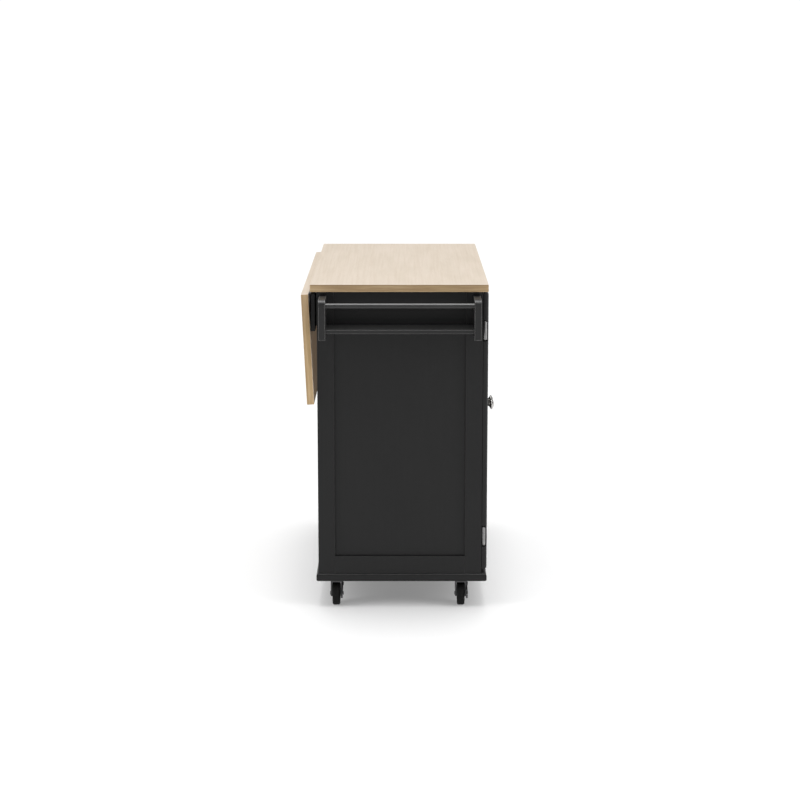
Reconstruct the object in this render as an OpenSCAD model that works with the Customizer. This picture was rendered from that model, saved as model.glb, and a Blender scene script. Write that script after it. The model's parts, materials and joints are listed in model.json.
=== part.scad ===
// Kitchen island cart: wooden worktop with a drop leaf over a painted cabinet on casters.
// X runs along the worktop, the doors face -Y, the drop leaf hangs at +Y, +Z is up.
// The origin is on the floor, under the middle of the whole cart's outline.

/* [Worktop and leaf] */
// Height of the worktop's surface above the floor
cart_h = 914; // [890:1:940]
// Length of the worktop and of the leaf
top_l = 1016; // [990:1:1060]
// Depth of the worktop
top_d = 486; // [480:1:500]
// Thickness of the worktop and of the leaf
top_t = 20; // [18:0.5:24]
// Width of the drop leaf, which hangs this far down
leaf_w = 305; // [250:1:330]
// How far the hanging leaf leans in under its hinge, in degrees
leaf_lean = 2.7; // [0:0.1:2.8]

/* [Cabinet] */
// Overhang of the worktop past each end of the cabinet
end_overhang = 15; // [12:1:20]
// Overhang of the worktop past the back of the cabinet
back_overhang = 17.5; // [17:0.5:19]
// Thickness of the two framed ends
end_t = 20; // [18:1:22]
// Width of the upright members of each end
stile_w = 46; // [42:1:50]
// Height of the cross members of each end
rail_w = 49; // [44:1:54]
// Depth from the face of an end to its recessed panel
panel_recess = 8; // [6:1:10]
// Thickness of the partition and the shelf
board_t = 16; // [15:1:18]
// Thickness of the base board
base_t = 23; // [20:1:26]
// Rounding of the base board's edges
base_round = 7; // [4:0.5:9]

/* [Doors and drawers] */
// Thickness of the doors and the drawer fronts
door_t = 14; // [14:0.5:16]
// Gap between the cabinet and the back of the doors
door_gap = 1; // [1:0.1:1.5]
// Rounding of the front edges of the doors and the drawer fronts
front_round = 8; // [5:0.5:8]
// Gap between neighbouring doors and drawer fronts
front_gap = 4; // [4:0.5:5]
// Height of the gap under the doors
under_gap = 12; // [8:1:14]
// Diameter of the knobs
knob_d = 32; // [28:1:34]
// How far the knobs stand out
knob_reach = 31; // [28:1:33]
// Travel of the drawers
drawer_travel = 300; // [200:10:300]

/* [Spice rack] */
// How far the rack stands out from the cabinet's end
rack_reach = 106; // [90:1:115]
// Height of the rack's side boards
rack_h = 108; // [100:1:120]
// Thickness of the rack's side boards
rack_t = 18.5; // [18:0.5:22]
// Diameter of the rail
rail_d = 15; // [14:1:18]

/* [Casters] */
// Height of the casters, floor to base
caster_h = 77; // [77:1:80]
// Diameter of the wheels
wheel_d = 65; // [62:1:65]
// Width of the tread
wheel_w = 21.5; // [19:0.5:22]
// Offset of the wheel's axle from the swivel axis
trail = 20; // [18:1:22]

/* [Hidden] */
$fn = 48;
drawer_names = ["bottom", "middle", "top"];
caster_names = ["left_rear", "left_front", "right_rear", "right_front"];
door_names = ["left", "mid"];

wood = "burlywood";
paint = [0.16, 0.16, 0.16];
nickel = "silver";
zinc = [0.45, 0.45, 0.46];
plastic = [0.08, 0.08, 0.08];
bare_board = "wheat";

hairline = 0.2;      // joint between boards that meet in one assembly
slip = 0.05;         // clearance of a pin or a screw in its hole
poke = 1;            // how far a cutting shape passes the face it cuts

// Levels, from the floor up
base_z = caster_h;
floor_z = base_z + base_t;
under_z = cart_h - top_t;

// Plan lines, measured from the middle of the worktop
back_y = top_d / 2 - back_overhang;
door_front_y = -top_d / 2 - 1;
door_back_y = door_front_y + door_t;
front_y = door_back_y + door_gap;
end_x = top_l / 2 - end_overhang;
inner_x = end_x - end_t;
bay_w = 2 * end_x / 3;
partition_x = end_x - bay_w;
partition_left = partition_x - board_t / 2;
partition_right = partition_x + board_t / 2;
base_ledge = 6;
rear_rail_t = 16;
rear_rail_h = 114;
inside_back_y = back_y - rear_rail_t;
front_rail_h = 34;
front_rail_t = 18;
back_panel_t = 6;
end_panel_t = 6;

// Shelf and its pins
shelf_z = 486;
shelf_front_y = front_y + 20;
shelf_play = 1;
shelf_pin_r = 2.5;
shelf_pin_depth = 8;
shelf_pin_l = 18;
shelf_pin_y = [front_y + 32, inside_back_y - 9];

// Drop leaf hinge: the pin lies under the worktop's back edge
leaf_pin_y = top_d / 2;
leaf_pin_drop = 4.7;
leaf_pin_z = under_z - leaf_pin_drop;
leaf_edge_gap = 1.2;
leaf_barrel_r = 2.5;
leaf_wire_r = 1.2;
leaf_hinge_l = 60;
leaf_plate_t = 1.6;
leaf_flap_w = 32;
leaf_knuckle_gap = 0.2;
leaf_web_gap = 0.4;
leaf_plate_inset = 1;
leaf_flap_gap = 0.5;
leaf_hinge_x = [-450, 0, 450];
leaf_fall = 90 + leaf_lean;

// Folding supports for the leaf
support_t = 12;
support_l = 250;
support_h = 102;
support_tip_h = 50;
support_top_z = under_z - 8;
support_gap = 4.2;
support_y = back_y + support_gap;
support_plate_t = 1.8;
support_plate_w = 34;
support_hinge_h = 76;
support_plate_in = 4;
support_pin_in = 1.5;
support_pin_play = 0.1;
support_foot_l = 60;

// Doors
door_bottom_z = floor_z + under_gap;
door_top_z = under_z - 2;
door_h = door_top_z - door_bottom_z;
door_stile = 50;
door_rail = 54;
door_panel_recess = 6;
door_panel_t = 5;
left_door = [-end_x, partition_x - bay_w - front_gap / 2];
mid_door = [partition_x - bay_w + front_gap / 2, partition_x - front_gap / 2];
knob_inset = 26.5;
knob_z = 524;
knob_head_h = 9;
knob_foot_r = 9;
knob_foot_h = 2.5;
knob_neck_r = 5.5;
knob_skirt_h = 2;
knob_rim = 0.5;
catch_size = [30, 16, 14];
catch_inset = 10;
catch_back = 1;

// Door hinges, in their own frame: the axis is the origin, +X goes into the door
hinge_in = 4.2;
hinge_back = 5.6;
barrel_r = 5;
barrel_half = 27;
hinge_pin_r = 2.5;
fixed_knuckle_h = 17.4;
knuckle_gap = 0.3;
hinge_plate_t = 2;
hinge_pin_lap = 1;      // how far the pin reaches into each end knuckle
door_plate_gap = 0.8;   // between the door's plate and the notch's floor
plate_side_gap = 0.5;   // between the door's plate and the barrel or the notch's end
knuckle_web = 2;        // how far each end knuckle's web reaches beyond the barrel
fixed_strap_lap = 1.2;
fixed_leaf_l = 34;
hinge_z = [206, 785];
notch_depth = 23.7;
notch_play = 2;
back_ease = 1;
door_lip = 3.2;
hinge_y = door_back_y - hinge_back;
left_axis_x = left_door[0] + hinge_in;
mid_axis_x = mid_door[1] - hinge_in;

// Drawers
drawer_fronts_x = [partition_x + front_gap / 2 + 2, end_x];
drawer_front_h = (door_h - 2 * front_gap) / 3;
slide_space = 12.7;
drawer_x = [partition_right + slide_space, inner_x - slide_space];
drawer_y = [door_back_y + hairline, door_back_y + 400];
drawer_recess = 5;
drawer_side_h = 180;
drawer_side_t = 12;
drawer_bottom_t = 5;
drawer_lift = 26;
slide_h = 36;
slide_l = drawer_travel + 80;
slide_wall = 1.4;
slide_play = 0.6;
slide_lip = 8;
slide_start_y = front_y + 4;
slide_lift = 60;

// Spice rack
rack_top_z = under_z - 11;
rack_low_z = rack_top_z - rack_h;
rack_x = -end_x - rack_reach;
rack_inset = 8.5;
rack_round = 14;
rack_shelf_t = 11;
rack_shelf_inset = 5;
rack_shelf_z = rack_low_z + 17;
rack_rail_x = rack_x + 16;
rack_rail_z = rack_top_z - 17;
rail_socket = 8;
rail_end_play = 0.5;
rack_screw_r = 2;
rack_screw_bite = 28;
rack_screw_head_r = 4.5;
rack_screw_head_t = 2.2;
rack_screw_sink = 2.6;
rack_screw_z = [rack_low_z + 25, rack_top_z - 25];

// Casters
caster_x = end_x + base_ledge - 62;
caster_y = [177, -173];
caster_places = [for (sx = [-1, 1]) for (y = caster_y) [sx * caster_x, y]];
plate_size = [54, 46];
plate_t = 2.4;
plate_hole_grid = [40, 32];
caster_screw_r = 2;
caster_screw_l = 16;
caster_head_r = 3.8;
caster_head_t = 1.8;
caster_screw_places = [
    for (p = caster_places, sx = [-1, 1], sy = [-1, 1])
        p + [sx * plate_hole_grid[0], sy * plate_hole_grid[1]] / 2
];
boss_r = 15;
boss_h = 3.6;
boss_lap = 1;
kingpin_r = 4;
kingpin_head_r = 6;
kingpin_head_t = 2.2;
crown_top_z = caster_h - plate_t - boss_h - 0.4;
crown_low_z = wheel_d + 1.2;
kingpin_low_z = crown_low_z - 2.8;
fork_x = [-trail - 10, 16];
cheek_in = 11.6;
cheek_t = 4.2;
cheek_eye_r = 9;
cheek_foot = 6;
cheek_foot_rise = 1;
cheek_front_drop = 4;
hub_r = 22;
hub_side_play = 0.4;
hub_recess = 1.5;
tread_round = 4;
axle_r = 4;
axle_head_r = 5;
axle_head_t = 2;
axle_nut_t = 4.5;
brake_pivot = [-4, 56];
brake_pin_r = 3;
brake_t = 2.5;
brake_gap = 0.4;
brake_rivet_r = 5;
brake_rivet_t = 1.2;
brake_pin_bite = 0.5;
brake_pin_play = 0.1;
brake_eye_r = 7;
brake_root = [1, 6.5];
brake_reach = 42;
brake_tip = [4, 1.5];
brake_tip_rise = 6;
toe_l = 8;
toe_w = 3;
toe_z = [29.5, 36];

// Overall outline, and the shift that brings its middle to the origin
leaf_reach_y = leaf_pin_y + (leaf_pin_drop + top_t) * cos(leaf_lean) - leaf_edge_gap * sin(leaf_lean);
outline_x = [rack_x, top_l / 2];
outline_y = [door_front_y - knob_reach, leaf_reach_y];
home = [-(outline_x[0] + outline_x[1]) / 2, -(outline_y[0] + outline_y[1]) / 2, 0];

// ---- Shared shapes ----

module at_home() {
    translate(home) children();
}

// Block between two opposite corners
module box(lo, hi) {
    translate(lo) cube(hi - lo);
}

// Shape in X and Z, thickened along Y between two planes
module slab_xz(y_lo, y_hi) {
    translate([0, y_hi, 0]) rotate([90, 0, 0]) linear_extrude(y_hi - y_lo) children();
}

// Outline of a board w wide and t thick with both edges of its face at y = 0 rounded
module eased_outline(w, t, r) {
    intersection() {
        square([w, t]);
        union() {
            translate([0, r]) square([w, t]);
            translate([r, 0]) square([w - 2 * r, t]);
            for (x = [r, w - r]) translate([x, r]) circle(r);
        }
    }
}

// Front board between two corners in X and Z, with its four front edges rounded
module front_board(x, z) {
    intersection() {
        translate([x[0], door_front_y, z[0]])
            linear_extrude(z[1] - z[0]) eased_outline(x[1] - x[0], door_t, front_round);
        translate([x[0], door_front_y, z[0]]) rotate([90, 0, 90])
            linear_extrude(x[1] - x[0]) mirror([1, -1, 0])
                eased_outline(z[1] - z[0], door_t, front_round);
    }
}

// ---- Worktop, base and ends ----

module worktop() {
    color(wood) at_home() box([-top_l / 2, -top_d / 2, under_z], [top_l / 2, top_d / 2, cart_h]);
}

// Outline of a bar w wide and t thick with all four edges rounded
module rounded_bar(w, t, r) {
    translate([r, 0]) square([w - 2 * r, t]);
    translate([0, r]) square([w, t - 2 * r]);
    for (x = [r, w - r], y = [r, t - r]) translate([x, y]) circle(r);
}

module base_board() {
    lo = [-end_x - base_ledge, door_front_y];
    size = [end_x + base_ledge, back_y + base_ledge] - lo;
    color(paint) at_home() difference() {
        intersection() {
            translate([lo[0], lo[1], base_z]) rotate([90, 0, 90])
                linear_extrude(size[0]) rounded_bar(size[1], base_t, base_round);
            translate([lo[0], lo[1] + size[1], base_z]) rotate([90, 0, 0])
                linear_extrude(size[1]) rounded_bar(size[0], base_t, base_round);
        }
        for (place = caster_screw_places)
            translate([place[0], place[1], base_z - poke])
                cylinder(h = caster_screw_l + poke, r = caster_screw_r + slip);
    }
}

// Framed end with its outer face at -X: two stiles and two rails
module end_frame() {
    for (y = [front_y, back_y - stile_w])
        box([-end_x, y, floor_z], [-inner_x, y + stile_w, under_z]);
    for (z = [floor_z, under_z - rail_w])
        box([-end_x, front_y + stile_w + hairline, z], [-inner_x, back_y - stile_w - hairline, z + rail_w]);
}

module end_panel() {
    outer_x = -end_x + panel_recess;
    box([outer_x, front_y + stile_w + hairline, floor_z + rail_w + hairline],
        [outer_x + end_panel_t, back_y - stile_w - hairline, under_z - rail_w - hairline]);
}

// Holes for the two pins that carry one end of the shelf; the wood lies towards -X of the face
module shelf_pin_holes(face_x) {
    for (y = shelf_pin_y)
        translate([face_x - shelf_pin_depth, y, shelf_z - shelf_pin_r]) rotate([0, 90, 0])
            cylinder(h = shelf_pin_depth + poke, r = shelf_pin_r + slip);
}

// Middle of the thickness of each rack side board
function rack_side_y(side) =
    (front_y + back_y) / 2 + side * ((back_y - front_y) / 2 - rack_inset - rack_t / 2);

// Holes for the rack's screws, with a counterbore for each head in the inner face of the end
module rack_screw_holes() {
    for (side = [-1, 1], z = rack_screw_z)
        translate([-inner_x, rack_side_y(side), z]) rotate([0, -90, 0]) {
            translate([0, 0, -poke])
                cylinder(h = end_t + rack_screw_bite + 2 * poke, r = rack_screw_r + slip);
            translate([0, 0, -poke])
                cylinder(h = rack_screw_sink + poke, r = rack_screw_head_r + hairline);
        }
}

module left_end_frame() {
    color(paint) at_home() difference() {
        end_frame();
        rack_screw_holes();
        shelf_pin_holes(-inner_x);
    }
}

module left_end_panel() {
    color(paint) at_home() end_panel();
}

module right_end_frame() {
    color(paint) at_home() mirror([1, 0, 0]) end_frame();
}

module right_end_panel() {
    color(paint) at_home() mirror([1, 0, 0]) end_panel();
}

// ---- Inside of the cabinet ----

module partition() {
    color(paint) at_home() difference() {
        box([partition_left, front_y, floor_z], [partition_right, inside_back_y - hairline, under_z]);
        mirror([1, 0, 0]) shelf_pin_holes(-partition_left);
    }
}

module back_panel() {
    color(paint) at_home()
        box([-inner_x, inside_back_y, floor_z],
            [inner_x, inside_back_y + back_panel_t, under_z - rear_rail_h - hairline]);
}

module rear_rail() {
    color(paint) at_home() box([-inner_x, inside_back_y, under_z - rear_rail_h], [inner_x, back_y, under_z]);
}

module front_rails() {
    color(paint) at_home()
        for (x = [[-inner_x, partition_left], [partition_right, inner_x]])
            box([x[0], front_y, under_z - front_rail_h], [x[1], front_y + front_rail_t, under_z]);
}

module shelf() {
    color(bare_board) at_home()
        box([-inner_x + shelf_play, shelf_front_y, shelf_z],
            [partition_left - shelf_play, inside_back_y - shelf_play, shelf_z + board_t]);
}

module shelf_pins() {
    color(zinc) at_home()
        for (x = [-inner_x, partition_left - shelf_pin_l + 2 * shelf_pin_depth], y = shelf_pin_y)
            translate([x - shelf_pin_depth, y, shelf_z - shelf_pin_r]) rotate([0, 90, 0])
                cylinder(h = shelf_pin_l, r = shelf_pin_r);
}

// Magnetic catches under the front rail, one behind the free edge of each door
module door_catches() {
    color(plastic) at_home()
        for (x = [left_door[1] - catch_size[0] - catch_inset, mid_door[0] + catch_inset])
            translate([x, front_y + catch_back, under_z - front_rail_h - catch_size[2]]) cube(catch_size);
}

// ---- Spice rack on the left end ----

module rack_sides() {
    color(paint) at_home() difference() {
        for (side = [-1, 1])
            slab_xz(rack_side_y(side) - rack_t / 2, rack_side_y(side) + rack_t / 2) rack_side_outline();
        for (side = [-1, 1])
            translate([rack_rail_x, rack_side_y(side) - side * rack_t / 2, rack_rail_z]) rotate([90, 0, 0])
                cylinder(h = 2 * rail_socket, r = rail_d / 2 + slip, center = true);
        rack_screw_holes();
    }
}

// Side board seen from the front, with its outer top corner rounded
module rack_side_outline() {
    translate([rack_x, rack_low_z]) square([rack_reach, rack_h - rack_round]);
    translate([rack_x + rack_round, rack_low_z]) square([rack_reach - rack_round, rack_h]);
    translate([rack_x + rack_round, rack_top_z - rack_round]) circle(rack_round);
}

module rack_shelf() {
    color(paint) at_home()
        box([rack_x + rack_shelf_inset, rack_side_y(-1) + rack_t / 2 + hairline, rack_shelf_z],
            [-end_x - hairline, rack_side_y(1) - rack_t / 2 - hairline, rack_shelf_z + rack_shelf_t]);
}

module rack_rail() {
    rail_l = rack_side_y(1) - rack_side_y(-1) - rack_t + 2 * (rail_socket - rail_end_play);
    color(paint) at_home()
        translate([rack_rail_x, (front_y + back_y) / 2, rack_rail_z]) rotate([90, 0, 0])
            cylinder(h = rail_l, r = rail_d / 2, center = true);
}

module rack_screws() {
    color(zinc) at_home()
        for (side = [-1, 1], z = rack_screw_z)
            translate([-inner_x - rack_screw_sink, rack_side_y(side), z]) rotate([0, -90, 0]) {
                cylinder(h = end_t - rack_screw_sink + rack_screw_bite, r = rack_screw_r);
                translate([0, 0, -rack_screw_head_t]) cylinder(h = rack_screw_head_t, r = rack_screw_head_r);
            }
}

// ---- Drop leaf, its hinges and its supports ----

// Places shapes drawn with the leaf raised and the hinge pin as the origin
module hung_on_leaf_pin() {
    translate([0, leaf_pin_y, leaf_pin_z]) rotate([-leaf_fall, 0, 0]) children();
}

module drop_leaf() {
    color(wood) at_home() hung_on_leaf_pin()
        box([-top_l / 2, leaf_edge_gap, leaf_pin_drop],
            [top_l / 2, leaf_edge_gap + leaf_w, leaf_pin_drop + top_t]);
}

// Plate screwed under the worktop, with the middle knuckle
module leaf_hinge_plates() {
    half = leaf_hinge_l / 6 - leaf_knuckle_gap;
    edge = -leaf_wire_r - leaf_web_gap;
    color(nickel) at_home()
        for (x = leaf_hinge_x) translate([x, leaf_pin_y, leaf_pin_z]) {
            difference() {
                union() {
                    rotate([0, 90, 0]) cylinder(h = 2 * half, r = leaf_barrel_r, center = true);
                    box([-half, -leaf_barrel_r, 0], [half, edge, leaf_pin_drop]);
                    box([-leaf_hinge_l / 2, -back_overhang + leaf_plate_inset, leaf_pin_drop - leaf_plate_t],
                        [leaf_hinge_l / 2, edge, leaf_pin_drop]);
                }
                rotate([0, 90, 0]) cylinder(h = 2 * half + 2 * poke, r = leaf_wire_r + slip, center = true);
            }
        }
}

// Flap screwed to the leaf, with the outer knuckles and the pin
module leaf_hinge_flaps() {
    inner = leaf_hinge_l / 6 + leaf_knuckle_gap / 2;
    edge = leaf_wire_r + leaf_web_gap;
    color(nickel) at_home() hung_on_leaf_pin()
        for (x = leaf_hinge_x) translate([x, 0, 0]) {
            rotate([0, 90, 0]) cylinder(h = leaf_hinge_l, r = leaf_wire_r, center = true);
            for (side = [0, 1]) mirror([side, 0, 0]) {
                translate([inner, 0, 0]) rotate([0, 90, 0])
                    cylinder(h = leaf_hinge_l / 2 - inner, r = leaf_barrel_r);
                box([inner, edge, 0], [leaf_hinge_l / 2, leaf_barrel_r, leaf_pin_drop]);
            }
            box([-leaf_hinge_l / 2, edge + leaf_flap_gap, leaf_pin_drop - leaf_plate_t],
                [leaf_hinge_l / 2, leaf_flap_w, leaf_pin_drop]);
        }
}

// Support board folded against the cabinet's back, its hinged end at -X
module leaf_support() {
    slab_xz(support_y, support_y + support_t)
        polygon([
            [-end_x, support_top_z],
            [-end_x, support_top_z - support_h],
            [-end_x + support_foot_l, support_top_z - support_h],
            [-end_x + support_l, support_top_z - support_tip_h],
            [-end_x + support_l, support_top_z],
        ]);
}

module leaf_support_left() {
    color(paint) at_home() leaf_support();
}

module leaf_support_right() {
    color(paint) at_home() mirror([1, 0, 0]) leaf_support();
}

// Closed butt hinges in the gap between the cabinet's back and the supports
module support_hinges() {
    color(paint) at_home()
        for (side = [0, 1]) mirror([side, 0, 0]) {
            low = support_top_z - support_h / 2 - support_hinge_h / 2;
            for (y = [back_y, support_y - support_plate_t])
                box([-inner_x + support_plate_in, y, low],
                    [-inner_x + support_plate_w, y + support_plate_t, low + support_hinge_h]);
            translate([-inner_x + support_pin_in, (back_y + support_y) / 2, low])
                cylinder(h = support_hinge_h, r = support_gap / 2 - support_pin_play);
        }
}

// ---- Doors ----

// The stiles and rails of a door between two X lines
module door_members(x) {
    z = [door_bottom_z, door_top_z];
    for (sx = [x[0], x[1] - door_stile])
        box([sx, door_front_y - poke, z[0]], [sx + door_stile, door_back_y + poke, z[1]]);
    for (sz = [z[0], z[1] - door_rail])
        box([x[0] + door_stile + hairline, door_front_y - poke, sz],
            [x[1] - door_stile - hairline, door_back_y + poke, sz + door_rail]);
}

// Notches for the hinges, cut from the back of a door whose hinged edge is at edge_x
module hinge_notches(edge_x, inward) {
    for (z = hinge_z)
        translate([edge_x, 0, z]) mirror([inward < 0 ? 1 : 0, 0, 0])
            box([-poke, door_front_y + door_lip, -barrel_half - notch_play],
                [notch_depth, door_back_y + poke, barrel_half + notch_play]);
}

module door_frame(x, hinge_edge, inward) {
    color(paint) at_home() difference() {
        intersection() {
            front_board(x, [door_bottom_z, door_top_z]);
            door_members(x);
        }
        hinge_notches(hinge_edge, inward);
        hinge_back_easing(hinge_edge, inward);
    }
}

// Small bevel along the back corner of the hinged edge, which lets the door swing clear
module hinge_back_easing(edge_x, inward) {
    reach = back_ease + poke;
    translate([edge_x, door_back_y, door_bottom_z - poke]) linear_extrude(door_h + 2 * poke)
        polygon([[-poke * inward, poke], [reach * inward, poke], [-poke * inward, -reach]]);
}

module door_panel(x) {
    face_y = door_front_y + door_panel_recess;
    color(paint) at_home()
        box([x[0] + door_stile + hairline, face_y, door_bottom_z + door_rail + hairline],
            [x[1] - door_stile - hairline, face_y + door_panel_t, door_top_z - door_rail - hairline]);
}

// The half of each hinge that is screwed to the door: pin, end knuckles and plate
module door_hinges(axis_x, inward) {
    color(nickel) at_home()
        for (z = hinge_z) translate([axis_x, hinge_y, z]) mirror([inward < 0 ? 1 : 0, 0, 0]) {
            knuckle_low = fixed_knuckle_h / 2 + knuckle_gap;
            plate_y = -hinge_back + door_lip - hinge_plate_t - door_plate_gap;
            cylinder(h = 2 * (knuckle_low + hinge_pin_lap), r = hinge_pin_r, center = true);
            for (up = [0, 1]) mirror([0, 0, up]) {
                translate([0, 0, knuckle_low])
                    cylinder(h = barrel_half - barrel_r - knuckle_low, r = barrel_r);
                translate([0, 0, barrel_half - barrel_r]) sphere(barrel_r);
                box([0, -barrel_r, knuckle_low],
                    [barrel_r + knuckle_web, -barrel_r + hinge_plate_t, barrel_half - barrel_r]);
            }
            box([barrel_r + plate_side_gap, plate_y, -barrel_half],
                [notch_depth - hinge_in - plate_side_gap, plate_y + hinge_plate_t, barrel_half]);
        }
}

// The half of each hinge that is screwed to the cabinet, for a mounting face beside the axis
module fixed_hinge_leaf(face) {
    strap = [hinge_back - fixed_strap_lap, hinge_back + door_gap - hairline / 2];
    half = fixed_knuckle_h / 2;
    difference() {
        union() {
            cylinder(h = fixed_knuckle_h, r = barrel_r, center = true);
            box([0, strap[0], -half], [face + hinge_plate_t, strap[1], half]);
            box([face, strap[0], -half], [face + hinge_plate_t, strap[1] + fixed_leaf_l, half]);
        }
        cylinder(h = fixed_knuckle_h + 2 * poke, r = hinge_pin_r + slip, center = true);
    }
}

module door_hinge_plates() {
    color(nickel) at_home()
        for (z = hinge_z) {
            translate([left_axis_x, hinge_y, z]) fixed_hinge_leaf(-inner_x - left_axis_x);
            translate([mid_axis_x, hinge_y, z]) mirror([1, 0, 0])
                fixed_hinge_leaf(mid_axis_x - partition_left);
        }
}

// Mushroom knob standing out of a front at a given place
module knob(x, z) {
    crown_r = (pow(knob_d / 2, 2) + pow(knob_head_h, 2)) / (2 * knob_head_h);
    color(nickel) at_home() translate([x, door_front_y, z]) rotate([90, 0, 0]) {
        cylinder(h = knob_foot_h, r = knob_foot_r);
        cylinder(h = knob_reach - knob_head_h, r = knob_neck_r);
        intersection() {
            translate([0, 0, knob_reach - crown_r]) sphere(crown_r, $fn = 96);
            translate([0, 0, knob_reach - knob_head_h - knob_skirt_h])
                cylinder(h = knob_head_h + knob_skirt_h, r = knob_d / 2 - knob_rim);
        }
    }
}

// ---- Drawers ----

function drawer_z(i) = door_bottom_z + i * (drawer_front_h + front_gap);

module drawer_front(i) {
    color(paint) at_home() difference() {
        front_board(drawer_fronts_x, [drawer_z(i), drawer_z(i) + drawer_front_h]);
        box([drawer_fronts_x[0] + door_stile, door_front_y - poke, drawer_z(i) + door_stile],
            [drawer_fronts_x[1] - door_stile, door_front_y + drawer_recess,
                drawer_z(i) + drawer_front_h - door_stile]);
    }
}

module drawer_box(i) {
    z = drawer_z(i) + drawer_lift;
    color(bare_board) at_home() {
        for (x = [drawer_x[0], drawer_x[1] - drawer_side_t])
            box([x, drawer_y[0], z], [x + drawer_side_t, drawer_y[1], z + drawer_side_h]);
        for (y = [drawer_y[0], drawer_y[1] - drawer_side_t])
            box([drawer_x[0] + drawer_side_t + hairline, y, z],
                [drawer_x[1] - drawer_side_t - hairline, y + drawer_side_t, z + drawer_side_h]);
        inset = drawer_side_t + hairline;
        box([drawer_x[0] + inset, drawer_y[0] + inset, z],
            [drawer_x[1] - inset, drawer_y[1] - inset, z + drawer_bottom_t]);
    }
}

module drawer_knob(i) {
    middle = (drawer_fronts_x[0] + drawer_fronts_x[1]) / 2;
    translate([0, drawer_recess, 0]) knob(middle, drawer_z(i) + drawer_front_h / 2);
}

// Height of the middle of a drawer's slides
function slide_z(i) = drawer_z(i) + drawer_lift + slide_lift;

// Bar on each side of a drawer that runs in the cabinet's channel
module drawer_slides(i) {
    half = slide_h / 2 - slide_wall - slide_play;
    half_box = (drawer_x[1] - drawer_x[0]) / 2;
    color(zinc) at_home()
        for (side = [0, 1])
            translate([(drawer_x[0] + drawer_x[1]) / 2, slide_start_y, slide_z(i)]) mirror([side, 0, 0])
                box([-half_box - slide_space + slide_wall + slide_play, 0, -half],
                    [-half_box - hairline, slide_l, half]);
}

// Channels screwed to the partition and to the right end
module drawer_runners() {
    half_bay = (inner_x - partition_right) / 2;
    color(zinc) at_home()
        for (i = [0:2], side = [0, 1])
            translate([(inner_x + partition_right) / 2, slide_start_y, slide_z(i)]) mirror([side, 0, 0])
                difference() {
                    box([-half_bay, 0, -slide_h / 2], [-half_bay + slide_lip, slide_l, slide_h / 2]);
                    box([-half_bay + slide_wall, -poke, -slide_h / 2 + slide_wall],
                        [-half_bay + slide_lip + poke, slide_l + poke, slide_h / 2 - slide_wall]);
                }
}

// ---- Casters ----

module caster_plates() {
    color(zinc) at_home()
        difference() {
            for (place = caster_places) translate([place[0], place[1], 0]) {
                translate([-plate_size[0] / 2, -plate_size[1] / 2, base_z - plate_t])
                    cube([plate_size[0], plate_size[1], plate_t]);
                translate([0, 0, base_z - plate_t - boss_h]) cylinder(h = boss_h + boss_lap, r = boss_r);
                translate([0, 0, kingpin_low_z]) cylinder(h = base_z - crown_low_z, r = kingpin_r);
                translate([0, 0, kingpin_low_z]) cylinder(h = kingpin_head_t, r = kingpin_head_r);
            }
            for (place = caster_screw_places)
                translate([place[0], place[1], base_z - plate_t - poke])
                    cylinder(h = plate_t + 2 * poke, r = caster_screw_r + slip);
        }
}

module caster_screws() {
    color(zinc) at_home()
        for (place = caster_screw_places)
            translate([place[0], place[1], base_z - plate_t - caster_head_t]) {
                cylinder(h = caster_screw_l, r = caster_screw_r);
                cylinder(h = caster_head_t, r = caster_head_r);
            }
}

// Draws its children with the swivel axis of caster number i as their Z axis
module at_caster(i) {
    translate([caster_places[i][0], caster_places[i][1], 0]) children();
}

// Fork with its two cheeks, the riveted axle and the rivet that carries the brake lever
module caster_fork(i) {
    axle_z = wheel_d / 2;
    fork_w = 2 * (cheek_in + cheek_t);
    color(zinc) at_home() at_caster(i) {
        difference() {
            union() {
                box([fork_x[0], -fork_w / 2, crown_low_z], [fork_x[1], fork_w / 2, crown_top_z]);
                for (side = [0, 1]) mirror([0, side, 0])
                    slab_xz(cheek_in, cheek_in + cheek_t) cheek_outline();
            }
            translate([0, 0, crown_low_z - poke])
                cylinder(h = crown_top_z - crown_low_z + 2 * poke, r = kingpin_r + slip);
        }
        translate([-trail, 0, axle_z]) rotate([90, 0, 0]) {
            cylinder(h = fork_w, r = axle_r, center = true);
            translate([0, 0, -fork_w / 2 - axle_head_t]) cylinder(h = axle_head_t, r = axle_head_r);
            translate([0, 0, fork_w / 2]) cylinder(h = axle_nut_t, r = axle_head_r, $fn = 6);
        }
        translate([brake_pivot[0], -fork_w / 2 + brake_pin_bite, brake_pivot[1]]) rotate([90, 0, 0]) {
            rivet_z = brake_t + 2 * brake_gap + brake_pin_bite;
            cylinder(h = rivet_z + brake_pin_play, r = brake_pin_r);
            translate([0, 0, rivet_z]) cylinder(h = brake_rivet_t, r = brake_rivet_r);
        }
    }
}

// Outline of a fork cheek: wide under the crown and narrowing to a round eye at the axle
module cheek_outline() {
    axle_z = wheel_d / 2;
    polygon([
        [fork_x[0], crown_top_z],
        [fork_x[1], crown_top_z],
        [fork_x[1], brake_pivot[1] - cheek_front_drop],
        [-trail + cheek_foot, axle_z - cheek_foot + cheek_foot_rise],
        [-trail - cheek_foot, axle_z - cheek_foot + cheek_foot_rise],
        [fork_x[0], axle_z],
    ]);
    translate([-trail, axle_z]) circle(cheek_eye_r);
}

// Tread outline, right half: a band with rounded shoulders
module tread_outline(inner_r) {
    r = tread_round;
    outer_r = wheel_d / 2;
    translate([inner_r, -wheel_w / 2]) square([outer_r - r - inner_r, wheel_w]);
    translate([inner_r, -wheel_w / 2 + r]) square([outer_r - inner_r, wheel_w - 2 * r]);
    for (side = [-1, 1]) translate([outer_r - r, side * (wheel_w / 2 - r)]) circle(r);
}

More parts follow.
